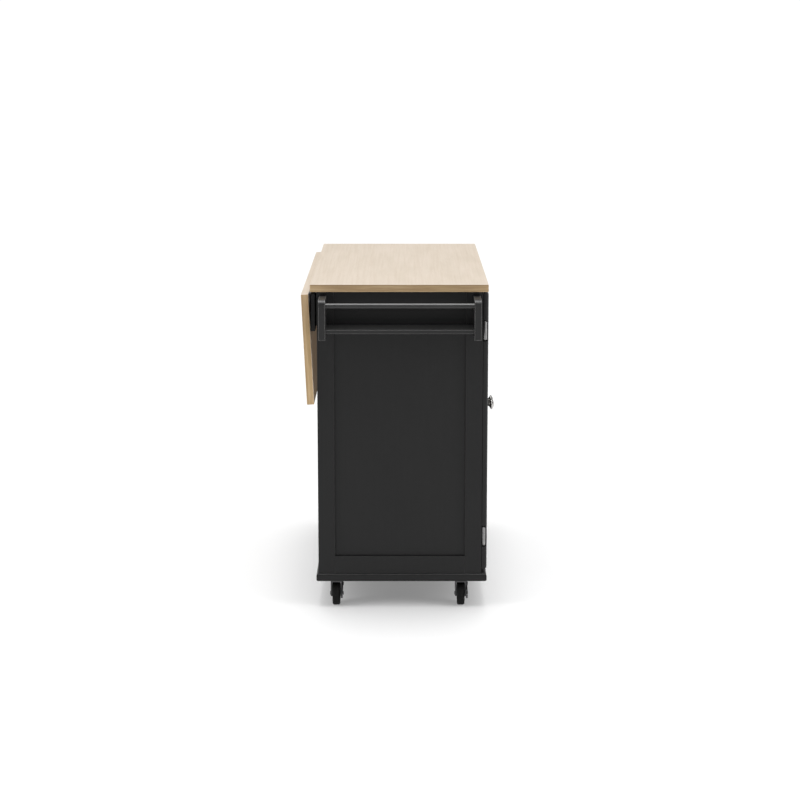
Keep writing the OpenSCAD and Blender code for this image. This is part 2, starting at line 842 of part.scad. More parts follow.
module caster_wheel(i) {
    hub_w = 2 * (cheek_in - hub_side_play);
    color(plastic) at_home() at_caster(i) translate([-trail, 0, wheel_d / 2]) rotate([90, 0, 0]) {
        rotate_extrude() tread_outline(hub_r + hairline);
        difference() {
            union() {
                cylinder(h = wheel_w - 2 * hub_recess, r = hub_r, center = true);
                cylinder(h = hub_w, r = cheek_eye_r, center = true);
            }
            cylinder(h = hub_w + 2 * poke, r = axle_r + slip, center = true);
        }
    }
}

// Foot lever on the outside of the front cheek, with its toe turned in
module caster_brake(i) {
    near = -cheek_in - cheek_t - brake_gap;
    toe_x = -trail - brake_reach;
    color(zinc) at_home() at_caster(i) difference() {
        union() {
            slab_xz(near - brake_t, near) {
                translate(brake_pivot) circle(brake_eye_r);
                polygon([
                    brake_pivot + brake_root,
                    brake_pivot - brake_root,
                    [toe_x + brake_tip[0], toe_z[0]],
                    [toe_x, toe_z[0] + brake_tip[1]],
                    [toe_x, toe_z[1] + brake_tip_rise],
                ]);
            }
            box([toe_x, near - brake_t, toe_z[0]], [toe_x + toe_l, near + toe_w, toe_z[1]]);
        }
        translate([brake_pivot[0], near + poke, brake_pivot[1]]) rotate([90, 0, 0])
            cylinder(h = brake_t + 2 * poke, r = brake_pin_r + slip);
    }
}

// ---- The cart ----

worktop();
base_board();
left_end_frame();
left_end_panel();
right_end_frame();
right_end_panel();
partition();
back_panel();
rear_rail();
front_rails();
shelf();
shelf_pins();
rack_sides();
rack_shelf();
rack_rail();
rack_screws();
leaf_support_left();
leaf_support_right();
support_hinges();
leaf_hinge_plates();
door_hinge_plates();
drawer_runners();
caster_plates();
caster_screws();
door_catches();
drop_leaf();
leaf_hinge_flaps();
door_frame(left_door, left_door[0], 1);  // door_left_frame
door_panel(left_door);  // door_left_panel
door_hinges(left_axis_x, 1);  // door_left_hinges
knob(left_door[1] - knob_inset, knob_z);  // door_left_knob
door_frame(mid_door, mid_door[1], -1);  // door_mid_frame
door_panel(mid_door);  // door_mid_panel
door_hinges(mid_axis_x, -1);  // door_mid_hinges
knob(mid_door[0] + knob_inset, knob_z);  // door_mid_knob
for (i = [0:2]) {
    drawer_front(i);
    drawer_box(i);
    drawer_knob(i);
    drawer_slides(i);
}
for (i = [0:3]) {
    caster_fork(i);
    caster_wheel(i);
    caster_brake(i);
}
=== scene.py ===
"""Looks of the kitchen island cart: materials, rounded edges, small hardware, floor, lights and camera.

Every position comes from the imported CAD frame. Lengths are in metres.
"""

import json
import math

import bmesh
import bpy
from mathutils import Matrix, Vector

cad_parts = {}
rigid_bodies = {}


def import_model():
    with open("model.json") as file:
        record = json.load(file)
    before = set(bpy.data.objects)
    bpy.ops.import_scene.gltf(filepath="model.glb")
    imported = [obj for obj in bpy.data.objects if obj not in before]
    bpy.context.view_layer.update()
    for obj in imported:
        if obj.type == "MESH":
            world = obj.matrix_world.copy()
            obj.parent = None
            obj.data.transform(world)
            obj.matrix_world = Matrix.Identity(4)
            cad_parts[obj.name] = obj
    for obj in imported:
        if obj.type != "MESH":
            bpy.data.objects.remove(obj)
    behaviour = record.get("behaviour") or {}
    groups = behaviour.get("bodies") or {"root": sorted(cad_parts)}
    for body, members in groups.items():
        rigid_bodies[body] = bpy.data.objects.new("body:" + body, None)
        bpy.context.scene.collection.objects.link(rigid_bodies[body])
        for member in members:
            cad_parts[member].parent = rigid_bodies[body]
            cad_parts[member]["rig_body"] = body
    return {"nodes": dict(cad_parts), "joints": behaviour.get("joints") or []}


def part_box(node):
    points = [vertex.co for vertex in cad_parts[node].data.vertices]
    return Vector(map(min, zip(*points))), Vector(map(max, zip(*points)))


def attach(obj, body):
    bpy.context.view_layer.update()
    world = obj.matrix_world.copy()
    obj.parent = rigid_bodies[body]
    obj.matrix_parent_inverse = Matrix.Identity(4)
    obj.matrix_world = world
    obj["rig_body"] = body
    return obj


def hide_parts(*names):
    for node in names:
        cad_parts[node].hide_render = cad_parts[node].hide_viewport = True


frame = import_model()
nodes = frame["nodes"]
joints = {joint["name"]: joint for joint in frame["joints"]}
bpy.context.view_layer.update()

MM = 0.001
DRAWERS = ("bottom", "middle", "top")
CASTERS = ("left_rear", "left_front", "right_rear", "right_front")
DOORS = ("left", "mid")
NODE_BODY = {name: item["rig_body"] for name, item in nodes.items()}


# ---- Node helpers ----


class Nodes:
    """A material's node tree, with one short call for each kind of node."""

    def __init__(self, name):
        self.material = bpy.data.materials.new(name)
        self.material.use_nodes = True
        self.tree = self.material.node_tree
        self.shader = self.tree.nodes["Principled BSDF"]

    def add(self, kind, **settings):
        node = self.tree.nodes.new(kind)
        for key, value in settings.items():
            setattr(node, key, value)
        return node

    def link(self, source, target):
        self.tree.links.new(source, target)

    def feed(self, socket, value):
        """Links a socket, or sets it when the value is a plain number or colour."""
        if isinstance(value, bpy.types.NodeSocket):
            self.link(value, socket)
        else:
            socket.default_value = value

    def coordinates(self, scale=(1, 1, 1), rotation=(0, 0, 0)):
        """Object coordinates in metres, turned and then stretched."""
        source = self.add("ShaderNodeTexCoord").outputs["Object"]
        turn = self.add("ShaderNodeMapping", vector_type="POINT")
        turn.inputs["Rotation"].default_value = rotation
        self.link(source, turn.inputs["Vector"])
        stretch = self.add("ShaderNodeVectorMath", operation="MULTIPLY")
        self.link(turn.outputs["Vector"], stretch.inputs[0])
        stretch.inputs[1].default_value = scale
        return stretch.outputs["Vector"]

    def noise(self, vector, scale, detail, roughness=0.55, distortion=0.0):
        """A noise pattern as a factor round 0.5."""
        node = self.add("ShaderNodeTexNoise")
        self.link(vector, node.inputs["Vector"])
        node.inputs["Scale"].default_value = scale
        node.inputs["Detail"].default_value = detail
        node.inputs["Roughness"].default_value = roughness
        node.inputs["Distortion"].default_value = distortion
        return node.outputs["Fac"]

    def ramp(self, factor, *stops):
        """A colour ramp from (place, colour) pairs."""
        node = self.add("ShaderNodeValToRGB")
        ramp = node.color_ramp
        while len(ramp.elements) < len(stops):
            ramp.elements.new(0.5)
        for element, (place, colour) in zip(ramp.elements, stops):
            element.position = place
            element.color = (*colour, 1)
        self.link(factor, node.inputs["Fac"])
        return node.outputs["Color"]

    def span(self, factor, low, high, from_low=0.3, from_high=0.7):
        """Maps the middle part of a factor onto the numbers from low to high."""
        node = self.add("ShaderNodeMapRange")
        self.link(factor, node.inputs["Value"])
        node.inputs["From Min"].default_value = from_low
        node.inputs["From Max"].default_value = from_high
        node.inputs["To Min"].default_value = low
        node.inputs["To Max"].default_value = high
        return node.outputs["Result"]

    def mix(self, factor, first, second, blend="MIX"):
        """A colour between two others, where the factor says how far."""
        node = self.add("ShaderNodeMix", data_type="RGBA", blend_type=blend)
        self.feed(node.inputs["Factor"], factor)
        for key, value in (("A", first), ("B", second)):
            socket = [s for s in node.inputs if s.name == key and s.type == "RGBA"][0]
            self.feed(socket, value if isinstance(value, bpy.types.NodeSocket) else (*value, 1))
        return [s for s in node.outputs if s.type == "RGBA"][0]

    def sum(self, first, second, operation="ADD"):
        """Two numbers put together by a sum or another operation."""
        node = self.add("ShaderNodeMath", operation=operation)
        self.feed(node.inputs[0], first)
        self.feed(node.inputs[1], second)
        return node.outputs["Value"]

    def blend(self, factor, first, second):
        """A number between two others, where the factor says how far."""
        node = self.add("ShaderNodeMix", data_type="FLOAT")
        self.link(factor, node.inputs[0])
        self.link(first, node.inputs[2])
        self.link(second, node.inputs[3])
        return node.outputs[0]

    def axis(self, source, axis):
        """One axis of a texture coordinate, such as Object or Normal."""
        split = self.add("ShaderNodeSeparateXYZ")
        self.link(self.add("ShaderNodeTexCoord").outputs[source], split.inputs["Vector"])
        return split.outputs[axis]

    def across_x(self):
        """1 on faces that look along X and 0 on the others."""
        squared = self.sum(self.axis("Normal", "X"), 2.0, "POWER")
        return self.span(squared, 0.0, 1.0, from_low=0.35, from_high=0.65)

    def edges(self, width):
        """1 on sharp outer edges and 0 on flat faces."""
        bevel = self.add("ShaderNodeBevel", samples=4)
        bevel.inputs["Radius"].default_value = width
        flat = self.add("ShaderNodeNewGeometry").outputs["Normal"]
        dot = self.add("ShaderNodeVectorMath", operation="DOT_PRODUCT")
        self.link(bevel.outputs["Normal"], dot.inputs[0])
        self.link(flat, dot.inputs[1])
        return self.span(dot.outputs["Value"], 1, 0, from_low=0.75, from_high=0.995)

    def bump(self, height, distance, strength):
        """Presses a height pattern into the surface, to a depth in metres."""
        node = self.add("ShaderNodeBump")
        node.inputs["Strength"].default_value = strength
        node.inputs["Distance"].default_value = distance
        self.link(height, node.inputs["Height"])
        self.link(node.outputs["Normal"], self.shader.inputs["Normal"])

    def finish(self, colour, roughness, metallic=0.0, specular=0.5):
        """Sets the shader and hands over the material."""
        self.link(colour, self.shader.inputs["Base Color"])
        self.feed(self.shader.inputs["Roughness"], roughness)
        self.shader.inputs["Metallic"].default_value = metallic
        self.shader.inputs["Specular IOR Level"].default_value = specular
        return self.material


# ---- Materials ----


# Each ramp is a row of (place, colour) stops
WOOD_FACE = (
    (0.30, (0.590, 0.508, 0.415)),
    (0.50, (0.622, 0.539, 0.446)),
    (0.72, (0.644, 0.557, 0.469)),
)
WOOD_STREAK = (0.535, 0.444, 0.344)
WOOD_PORE = (0.420, 0.327, 0.232)
WOOD_BAND = (
    (0.35, (0.333, 0.228, 0.112)),
    (0.50, (0.427, 0.306, 0.168)),
    (0.68, (0.526, 0.396, 0.236)),
)
WOOD_BAND_DRIFT = (0.350, 0.228, 0.136)
# Gain up the worktop's end band: paler at its foot, and a dark line under the top face
WOOD_LIP = (
    (0.00, (1.35, 1.33, 1.30)),
    (0.22, (1.00, 1.00, 1.00)),
    (0.80, (1.00, 1.00, 1.00)),
    (0.93, (0.66, 0.63, 0.56)),
)
PAINT = (
    (0.3, (0.0088, 0.0088, 0.0090)),
    (0.7, (0.0108, 0.0108, 0.0109)),
)
PAINT_GRAIN = (0.0070, 0.0070, 0.0072)
RAIL_PAINT = (
    (0.3, (0.010, 0.010, 0.010)),
    (0.7, (0.014, 0.014, 0.014)),
)
RUBBER = (
    (0.35, (0.005, 0.005, 0.005)),
    (0.62, (0.009, 0.009, 0.009)),
    (0.80, (0.026, 0.025, 0.024)),
)
BOARD = (
    (0.35, (0.47, 0.34, 0.21)),
    (0.60, (0.60, 0.46, 0.31)),
    (0.75, (0.66, 0.52, 0.37)),
)
BOARD_PORE = (0.36, 0.25, 0.15)
NICKEL = (0.50, 0.49, 0.475)
NICKEL_DULL = (0.41, 0.40, 0.385)
HINGE_STEEL = (0.275, 0.272, 0.270)
# Painted shade: the near-black of the hinge plates behind the barrel, where the gap beside it lies in shadow.
HINGE_PAINTED_SHADE = (0.035, 0.034, 0.033)
ZINC = (0.105, 0.105, 0.108)
ZINC_DULL = (0.060, 0.060, 0.062)
HUB_PLASTIC = (0.016, 0.016, 0.016)
CATCH_PLASTIC = (0.02, 0.02, 0.02)

# How often the pattern of wood grain and brush lines repeats in a metre along X, Y and Z
GRAIN_UPRIGHT = (120, 120, 7.5)
GRAIN_LONG = (7.5, 120, 120)
BRUSH_UPRIGHT = (400, 400, 12)
BRUSH_ROUND = (60, 500, 60)


def tinted(colour, gain):
    """A colour made lighter or darker, kept within what a surface can reflect."""
    return tuple(min(1.0, c * gain) for c in colour)


def top_wood(name, turned=0.0, band_gain=1.0):
    """Pale beech with fine long grain; its ends carry a browner band whose grain runs along the edge.

    The grain of a piece that hangs turned about X at rest is turned with it. The worktop, which isn't
    turned, has the gain of WOOD_LIP on its band.
    """
    n = Nodes(name)
    turn = (turned, 0, 0)
    broad = n.noise(n.coordinates((1.4, 9, 9), turn), scale=3.0, detail=3.0, roughness=0.5, distortion=0.4)
    streak = n.noise(n.coordinates((3, 160, 160), turn), scale=1.0, detail=5.0, roughness=0.6, distortion=0.2)
    pores = n.noise(n.coordinates((22, 900, 900), turn), scale=1.0, detail=3.0, roughness=0.7)
    face = n.ramp(broad, *WOOD_FACE)
    face = n.mix(n.span(streak, 0.0, 0.40, from_low=0.45, from_high=0.75), face, WOOD_STREAK)
    face = n.mix(n.span(pores, 0.0, 0.28, from_low=0.56, from_high=0.72), face, WOOD_PORE)

    fibre = n.noise(n.coordinates((170, 5, 110), turn), scale=1.0, detail=4.0, roughness=0.6, distortion=0.5)
    drift = n.noise(n.coordinates((30, 5, 30), turn), scale=1.0, detail=2.0)
    band = n.ramp(fibre, *((place, tinted(colour, band_gain)) for place, colour in WOOD_BAND))
    band = n.mix(n.span(drift, 0.0, 0.4), band, WOOD_BAND_DRIFT)
    at_end = n.across_x()
    if not turned:
        low, high = (corner.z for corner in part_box("worktop"))
        level = n.span(n.axis("Object", "Z"), 0.0, 1.0, from_low=low, from_high=high)
        band = n.mix(1.0, band, n.ramp(level, *WOOD_LIP), "MULTIPLY")

    height = n.sum(n.sum(streak, 0.35, "MULTIPLY"), n.sum(pores, 0.5, "MULTIPLY"))
    n.bump(height, distance=0.0002, strength=0.35)
    return n.finish(n.mix(at_end, face, band), n.span(streak, 0.48, 0.60), specular=0.25)


def black_paint(name, along, edge_highlight=0.045, specular=0.25):
    """Satin black paint over wood: the grain along one axis shows faintly, and the sharp edges are lightened
    as a painted highlight.
    """
    n = Nodes(name)
    cloud = n.noise(n.coordinates(), scale=5.0, detail=2.0)
    spray = n.noise(n.coordinates(), scale=900.0, detail=2.0, roughness=0.5)
    grain = n.noise(n.coordinates(along), scale=1.0, detail=4.0, roughness=0.65, distortion=0.3)
    base = n.ramp(cloud, *PAINT)
    base = n.mix(n.span(grain, 0.0, 0.35), base, PAINT_GRAIN)
    # Painted highlight: the sharp edges are lightened towards a pale grey, standing in for the light that
    # rounded edges catch.
    base = n.mix(n.sum(n.edges(0.003), 0.6, "MULTIPLY"), base, (edge_highlight, edge_highlight * 0.98, edge_highlight * 0.96))
    rough = n.sum(n.span(cloud, 0.40, 0.46), n.span(spray, -0.03, 0.03))
    n.bump(n.sum(n.sum(spray, 0.35, "MULTIPLY"), grain), distance=0.00012, strength=0.3)
    return n.finish(base, rough, specular=specular)


def rail_paint(name):
    """The same black paint, rubbed to a shine on the turned rail."""
    n = Nodes(name)
    rubbed = n.noise(n.coordinates((20, 5, 20)), scale=4.0, detail=3.0)
    spray = n.noise(n.coordinates(), scale=900.0, detail=2.0, roughness=0.5)
    n.bump(spray, distance=0.0001, strength=0.2)
    return n.finish(n.ramp(rubbed, *RAIL_PAINT), n.span(rubbed, 0.34, 0.40))


def hinge_plate(name, limit, steel, dark):
    """Steel at the barrel, in front of a plane across Y, and near-black behind it: painted shade, as dark as
    the shadowed gap beside the barrel.
    """
    n = Nodes(name)
    behind = n.span(n.axis("Object", "Y"), 0.0, 1.0, from_low=limit, from_high=limit + 0.2 * MM)
    lines = n.noise(n.coordinates(BRUSH_UPRIGHT), scale=1.0, detail=3.0, roughness=0.6)
    patch = n.noise(n.coordinates(), scale=90.0, detail=3.0)
    bright = n.mix(n.span(patch, 0.0, 0.5), steel, tinted(steel, 0.72))
    # Painted shade: behind the plane the plate takes this near-black colour, standing in for the shadowed gap
    # beside the barrel.
    black = n.mix(n.span(patch, 0.0, 0.5), dark, tinted(dark, 0.6))
    n.bump(lines, distance=0.00005, strength=0.25)
    return n.finish(n.mix(behind, bright, black), n.span(lines, 0.40, 0.52), metallic=1.0)


def metal(name, colour, dull, rough, brush):
    """Plated or galvanised steel with brush lines, dulled patches and edges made brighter as a painted
    highlight.
    """
    n = Nodes(name)
    lines = n.noise(n.coordinates(brush), scale=1.0, detail=3.0, roughness=0.6)
    patch = n.noise(n.coordinates(), scale=90.0, detail=3.0)
    base = n.mix(n.span(patch, 0.0, 0.5), colour, dull)
    # Painted highlight: the sharp edges are lightened, standing in for the light they catch.
    base = n.mix(n.sum(n.edges(0.0005), 0.5, "MULTIPLY"), base, tinted(colour, 1.35))
    n.bump(lines, distance=0.00005, strength=0.25)
    return n.finish(base, n.span(lines, rough - 0.06, rough + 0.06), metallic=1.0)


def rubber(name):
    """Matt black rubber with scuffs and dust in its grain."""
    n = Nodes(name)
    scuff = n.noise(n.coordinates(), scale=160.0, detail=4.0, roughness=0.7)
    grit = n.noise(n.coordinates(), scale=1600.0, detail=2.0)
    n.bump(n.sum(scuff, n.sum(grit, 0.4, "MULTIPLY")), distance=0.0002, strength=0.5)
    return n.finish(n.ramp(scuff, *RUBBER), n.span(scuff, 0.55, 0.8), specular=0.14)


def plastic(name, colour):
    """Moulded plastic with a fine spark-eroded texture."""
    n = Nodes(name)
    grit = n.noise(n.coordinates(), scale=1400.0, detail=2.0)
    drift = n.noise(n.coordinates(), scale=25.0, detail=2.0)
    base = n.mix(n.span(drift, 0.0, 0.4), colour, tinted(colour, 1.5))
    n.bump(grit, distance=0.00008, strength=0.4)
    return n.finish(base, n.span(grit, 0.42, 0.55))


def bare_board(name):
    """Sanded inner board, unpainted, with long grain that runs along each board."""
    n = Nodes(name)
    facing = n.across_x()
    streaks = [n.noise(n.coordinates(stretch), scale=1.0, detail=5.0, roughness=0.6, distortion=0.3)
               for stretch in ((4, 90, 90), (90, 4, 90))]
    pores = [n.noise(n.coordinates(stretch), scale=1.0, detail=3.0)
             for stretch in ((20, 600, 600), (600, 20, 600))]
    streak = n.blend(facing, *streaks)
    pore = n.blend(facing, *pores)
    base = n.ramp(streak, *BOARD)
    base = n.mix(n.span(pore, 0.0, 0.3), base, BOARD_PORE)
    n.bump(n.sum(streak, pore), distance=0.0002, strength=0.4)
    return n.finish(base, n.span(streak, 0.5, 0.65))


LEAF_TURN = math.radians(joints["leaf_swing"]["range_deg"][1])
BARREL_DEPTH = 9.4 * MM
HINGE_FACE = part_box("door_hinge_plates")[0].y + BARREL_DEPTH
MATERIALS = {
    "top": top_wood("top_wood"),
    "leaf": top_wood("leaf_wood", LEAF_TURN, 1.10),
    "upright_paint": black_paint("paint_upright", GRAIN_UPRIGHT),
    # The rack's boards get a stronger painted highlight on their edges and a higher specular level.
    "rack_paint": black_paint("paint_rack", GRAIN_UPRIGHT, edge_highlight=0.30, specular=0.34),
    "long_paint": black_paint("paint_long", GRAIN_LONG),
    "rail_paint": rail_paint("paint_rail"),
    "nickel": metal("polished_nickel", NICKEL, NICKEL_DULL, 0.16, BRUSH_ROUND),
    "hinge": metal("hinge_steel", HINGE_STEEL, tinted(HINGE_STEEL, 0.72), 0.46, BRUSH_UPRIGHT),
    "hinge_plate": hinge_plate("hinge_plate_steel", HINGE_FACE, HINGE_STEEL, HINGE_PAINTED_SHADE),
    "zinc": metal("dark_zinc", ZINC, ZINC_DULL, 0.42, BRUSH_UPRIGHT),
    "rubber": rubber("tread_rubber"),
    "hub": plastic("hub_plastic", HUB_PLASTIC),
    "board": bare_board("inner_board"),
    "catch": plastic("catch_plastic", CATCH_PLASTIC),
}

NODE_MATERIAL = {
    "worktop": "top",
    "drop_leaf": "leaf",
    "base_board": "long_paint",
    "left_end_frame": "upright_paint",
    "left_end_panel": "upright_paint",
    "right_end_frame": "upright_paint",
    "right_end_panel": "upright_paint",
    "partition": "upright_paint",
    "back_panel": "long_paint",
    "rear_rail": "long_paint",
    "front_rails": "long_paint",
    "shelf": "board",
    "shelf_pins": "zinc",
    "rack_sides": "rack_paint",
    "rack_shelf": "rack_paint",
    "rack_rail": "rail_paint",
    "rack_screws": "zinc",
    "leaf_support_left": "long_paint",
    "leaf_support_right": "long_paint",
    "support_hinges": "upright_paint",
    "leaf_hinge_plates": "hinge",
    "leaf_hinge_flaps": "hinge",
    "door_hinge_plates": "hinge_plate",
    "drawer_runners": "zinc",
    "caster_plates": "zinc",
    "caster_screws": "zinc",
    "door_catches": "catch",
}
for door in DOORS:
    NODE_MATERIAL[f"door_{door}_frame"] = "upright_paint"
    NODE_MATERIAL[f"door_{door}_panel"] = "upright_paint"
    NODE_MATERIAL[f"door_{door}_hinges"] = "hinge"
    NODE_MATERIAL[f"door_{door}_knob"] = "nickel"
for drawer in DRAWERS:
    NODE_MATERIAL[f"drawer_{drawer}_front"] = "long_paint"
    NODE_MATERIAL[f"drawer_{drawer}_box"] = "board"
    NODE_MATERIAL[f"drawer_{drawer}_knob"] = "nickel"
    NODE_MATERIAL[f"drawer_{drawer}_slides"] = "zinc"
for caster in CASTERS:
    NODE_MATERIAL[f"caster_{caster}_fork"] = "zinc"
    NODE_MATERIAL[f"caster_{caster}_wheel"] = "rubber"
    NODE_MATERIAL[f"caster_{caster}_brake"] = "zinc"

# Rounding in millimetres of the sharp edges of each CAD node that keeps its own mesh
EDGE_ROUND = {
    "worktop": 1.2, "drop_leaf": 1.2, "base_board": 3.0, "left_end_frame": 0.5, "right_end_frame": 0.5,
    "rack_sides": 2.2, "rack_shelf": 1.5, "leaf_support_left": 1.5, "leaf_support_right": 1.5,
    "shelf": 1.0, "partition": 0.8, "front_rails": 0.8, "rear_rail": 0.8,
}
for door in DOORS:
    EDGE_ROUND[f"door_{door}_frame"] = 0.5
for drawer in DRAWERS:
    EDGE_ROUND[f"drawer_{drawer}_front"] = 0.8
    EDGE_ROUND[f"drawer_{drawer}_box"] = 0.8
for caster in CASTERS:
    EDGE_ROUND[f"caster_{caster}_fork"] = 0.6
    EDGE_ROUND[f"caster_{caster}_brake"] = 0.5


WELD_GAP = 0.01 * MM
FLAT_ANGLE = 0.5


def even_shading(item):
    """Shades each corner by the size of its faces, so that flat faces look flat."""
    shade = item.modifiers.new("normals", "WEIGHTED_NORMAL")
    shade.keep_sharp = False


def soften(item, width, angle):
    """Rounds the edges that are sharper than an angle in degrees, and evens the shading."""
    bevel = item.modifiers.new("bevel", "BEVEL")
    bevel.width = width * MM
    bevel.segments = 3
    bevel.limit_method = "ANGLE"
    bevel.angle_limit = math.radians(angle)
    even_shading(item)


def round_edges(item, width):
    """Joins the faces' split corners and rounds the sharp edges; the CAD mesh itself isn't changed."""
    weld = item.modifiers.new("weld", "WELD")
    weld.merge_threshold = WELD_GAP
    flats = item.modifiers.new("flats", "DECIMATE")
    flats.decimate_type = "DISSOLVE"
    flats.angle_limit = math.radians(FLAT_ANGLE)
    soften(item, width, angle=40)
    item.modifiers["normals"].weight = 80


for name, item in nodes.items():
    item.data.materials.clear()
    item.data.materials.append(MATERIALS[NODE_MATERIAL[name]])
    if name in EDGE_ROUND:
        round_edges(item, EDGE_ROUND[name])


# ---- Turned pieces ----


def arc(centre, radius, start, end, steps):
    """Profile points along an arc, from one angle to another in degrees."""
    angles = [math.radians(start + (end - start) * i / steps) for i in range(steps + 1)]
    return [(centre[0] + radius * math.cos(a), centre[1] + radius * math.sin(a)) for a in angles]


def revolve(mesh, profile, steps):
    """Turns an open or closed profile of (radius, height) points about Z."""
    rings = []
    for i in range(steps):
        turn = 2 * math.pi * i / steps
        rings.append([mesh.verts.new((r * math.cos(turn), r * math.sin(turn), h)) for r, h in profile])
    for i in range(steps):
        this, following = rings[i], rings[(i + 1) % steps]
        for j in range(len(profile) - 1):
            mesh.faces.new((this[j], following[j], following[j + 1], this[j + 1]))


DOUBLES_GAP = 0.001 * MM


def piece_from(mesh, name, place, axis, material):
    """Makes a smooth-shaded piece whose local Z points along an axis."""
    bmesh.ops.remove_doubles(mesh, verts=mesh.verts, dist=DOUBLES_GAP)
    bmesh.ops.recalc_face_normals(mesh, faces=mesh.faces)
    data = bpy.data.meshes.new(name)
    mesh.to_mesh(data)
    mesh.free()
    data.polygons.foreach_set("use_smooth", [True] * len(data.polygons))
    piece = bpy.data.objects.new(name, data)
    bpy.context.scene.collection.objects.link(piece)
    piece.location = place
    piece.rotation_mode = "QUATERNION"
    piece.rotation_quaternion = Vector(axis).to_track_quat("Z", "Y")
    data.materials.append(MATERIALS[material])
    return piece


KNOB_STEPS = 72


def make_knob(node):
    """Turned mushroom knob: stepped foot, waisted neck and a domed head with a rolled rim."""
    low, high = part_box(node)
    reach, head_r = high.y - low.y, (high.x - low.x) / 2
    foot_r, foot_t, step = 9 * MM, 1.3 * MM, 1.2 * MM
    neck_r, neck_low, neck_gap, neck_steps = 5.2 * MM, 2.6 * MM, 3.0 * MM, 12
    rim_t, dome_h, rim_lap = 3.2 * MM, 6.2 * MM, 0.7 * MM
    rim_top = reach - dome_h
    rim_r = head_r - rim_t / 2
    dome_r = (head_r ** 2 + dome_h ** 2) / (2 * dome_h)
    dome_edge = math.degrees(math.asin((head_r - rim_lap) / dome_r))
    profile = [(0, 0), (foot_r, 0), (foot_r, foot_t), (foot_r - step, foot_t + 0.9 * MM)]
    neck_h = rim_top - rim_t - neck_gap - neck_low
    for i in range(neck_steps + 1):
        t = i / neck_steps
        flare = (2 * t - 1) ** 4
        wide = foot_r - 2 * step if t < 0.5 else head_r * 0.62
        profile.append((neck_r + (wide - neck_r) * flare, neck_low + neck_h * t))
    profile.append((rim_r, rim_top - rim_t))
    profile += arc((rim_r, rim_top - rim_t / 2), rim_t / 2, start=-80, end=50, steps=10)
    profile += arc((0, reach - dome_r), dome_r, start=90 - dome_edge + 3, end=90, steps=14)
    mesh = bmesh.new()
    revolve(mesh, profile, KNOB_STEPS)
    middle = Vector(((low.x + high.x) / 2, high.y, (low.z + high.z) / 2))
    piece = piece_from(mesh, node + "_turned", middle, (0, -1, 0), "nickel")
    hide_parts(node)
    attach(piece, NODE_BODY[node])


WHEEL_STEPS = 96
TYRE_T = 10.4 * MM
# How far the hub's boss stands out beyond the tyre, and its rim lies in behind the tyre's side
BOSS_PROUD = 0.55 * MM
RIM_SINK = 1.0 * MM


def make_tyre(caster, middle, outer, half):
    """Solid tyre with round shoulders and a fine mould line round its middle."""
    node = f"caster_{caster}_wheel"
    inner, shoulder, chamfer = outer - TYRE_T, 4.6 * MM, 1.2 * MM
    line_half, line_h = 0.4 * MM, 0.35 * MM
    profile = [(inner, -half + chamfer), (inner + chamfer, -half)]
    profile += arc((outer - shoulder, -half + shoulder), shoulder, start=-90, end=0, steps=8)
    profile += [(outer, -line_half), (outer - line_h, 0), (outer, line_half)]
    profile += arc((outer - shoulder, half - shoulder), shoulder, start=0, end=90, steps=8)
    profile += [(inner + chamfer, half), (inner, half - chamfer), (inner, -half + chamfer)]
    mesh = bmesh.new()
    revolve(mesh, profile, WHEEL_STEPS)
    tyre = piece_from(mesh, f"caster_{caster}_tyre", middle, (0, 1, 0), "rubber")
    even_shading(tyre)
    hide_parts(node)
    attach(tyre, NODE_BODY[node])


def make_hub(caster, middle, outer, boss_half, rim_half):
    """Moulded hub: a boss round the axle, a thin web with ribs on both faces, and a rim."""
    rim_r, web_half, boss_r, bore = outer - 2.2 * MM, 3.0 * MM, 9 * MM, 4.05 * MM
    draft, ribs, rib_t, rib_lap = 0.8 * MM, 6, 2.4 * MM, 1.0 * MM
    side = [(bore, boss_half), (boss_r, boss_half), (boss_r + draft, web_half), (rim_r - draft, web_half),
            (rim_r, rim_half), (outer, rim_half)]
    mesh = bmesh.new()
    revolve(mesh, side + [(r, -h) for r, h in reversed(side)] + [side[0]], WHEEL_STEPS)
    rib = Matrix.Diagonal((rim_r - boss_r + rib_lap, rib_t, rim_half - web_half, 1))
    for i in range(ribs):
        turn = Matrix.Rotation(2 * math.pi * i / ribs, 4, "Z")
        for face in (-1, 1):
            place = Matrix.Translation(((boss_r + rim_r) / 2, 0, face * (web_half + rim_half) / 2))
            bmesh.ops.create_cube(mesh, size=1.0, matrix=turn @ place @ rib)
    hub = piece_from(mesh, f"caster_{caster}_hub", middle, (0, 1, 0), "hub")
    soften(hub, width=0.35, angle=30)
    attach(hub, NODE_BODY[f"caster_{caster}_wheel"])


def make_wheel(caster):
    """A tyre and its hub in the place of the CAD wheel."""
    low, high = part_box(f"caster_{caster}_wheel")
    middle = (low + high) / 2
    outer, boss_half = (high.z - low.z) / 2, (high.y - low.y) / 2
    tyre_half = boss_half - BOSS_PROUD
    make_tyre(caster, middle, outer, tyre_half)
    make_hub(caster, middle, outer - TYRE_T, boss_half, tyre_half - RIM_SINK)


for door in DOORS:
    make_knob(f"door_{door}_knob")
for drawer in DRAWERS:
    make_knob(f"drawer_{drawer}_knob")
for caster in CASTERS:
    make_wheel(caster)


# ---- Floor, light and camera ----


FLOOR_SIZE = 60
FLOOR_TONES = (
    (0.3, (0.715, 0.715, 0.715)),
    (0.7, (0.735, 0.735, 0.735)),
)
FLOOR_GLOW = 0.20
BACKDROP_GLOW = 1.05
HORIZON_GLOW = 0.42
ZENITH_GLOW = 0.80
# The sine of the height above the horizon at which the zenith's glow is reached
ZENITH_FROM = 0.9

# Suns overhead: one wide, and three narrow ones whose shadows fall side by side
WIDE_SUN = {"strength": 1.0, "spread": 65, "tilt": 14}
NARROW_SUN = {"strength": 0.34, "spread": 18}
NARROW_SUN_TILTS = (-6, 8, 22)

